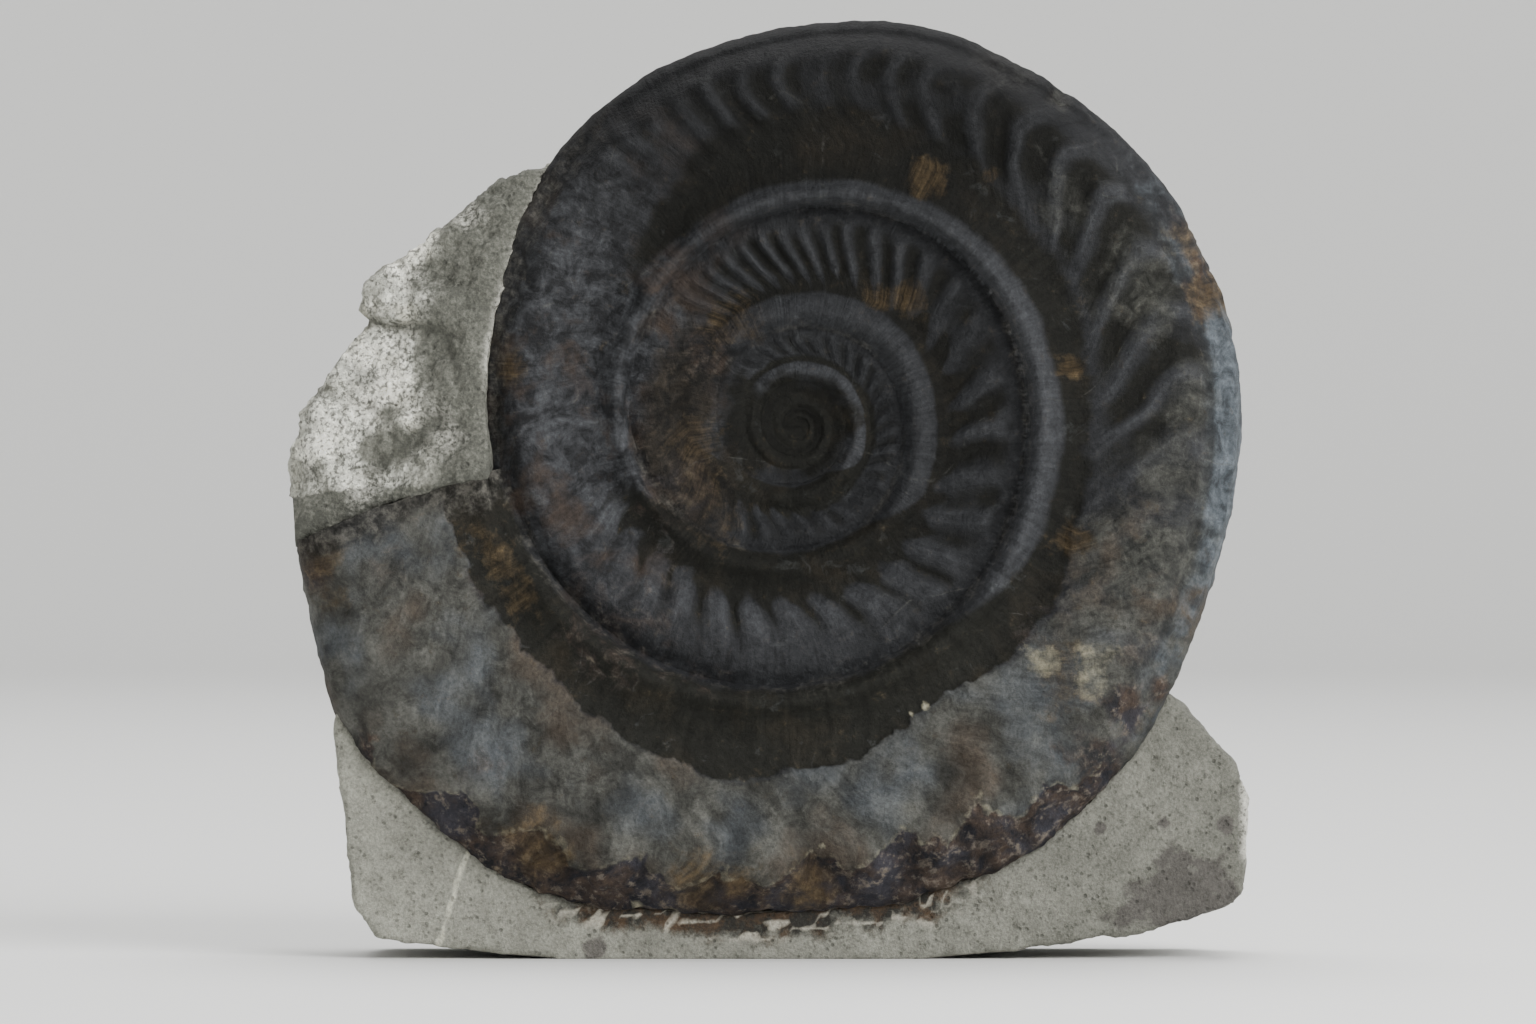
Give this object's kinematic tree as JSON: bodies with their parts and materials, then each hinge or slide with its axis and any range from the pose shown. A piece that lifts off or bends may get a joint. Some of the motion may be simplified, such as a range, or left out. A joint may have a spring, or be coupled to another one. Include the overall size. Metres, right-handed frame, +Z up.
{
  "type": "ammonite fossil in matrix",
  "caption": "Ribbed, evolute ammonite fossil standing upright in a block of grey limestone with a flat underside.",
  "frame": {"origin": "centre of the flat underside of the stone, below the middle of the whole object", "axes": "+Z up, the coil faces -Y, and +X is to the viewer's right"},
  "size_m": [0.2046, 0.051, 0.2],
  "materials": {
    "fossil_shell": "dark blue-grey mineralised shell, olive-black in the furrows, polished on the ribs and worn grey on the last half whorl",
    "limestone": "fine-grained grey-green limestone, pale and weathered at the upper left, with dark specks and pits"
  },
  "bodies": {
    "root": {"ammonite": "fossil_shell", "matrix": "limestone"}
  },
  "joints": []
}
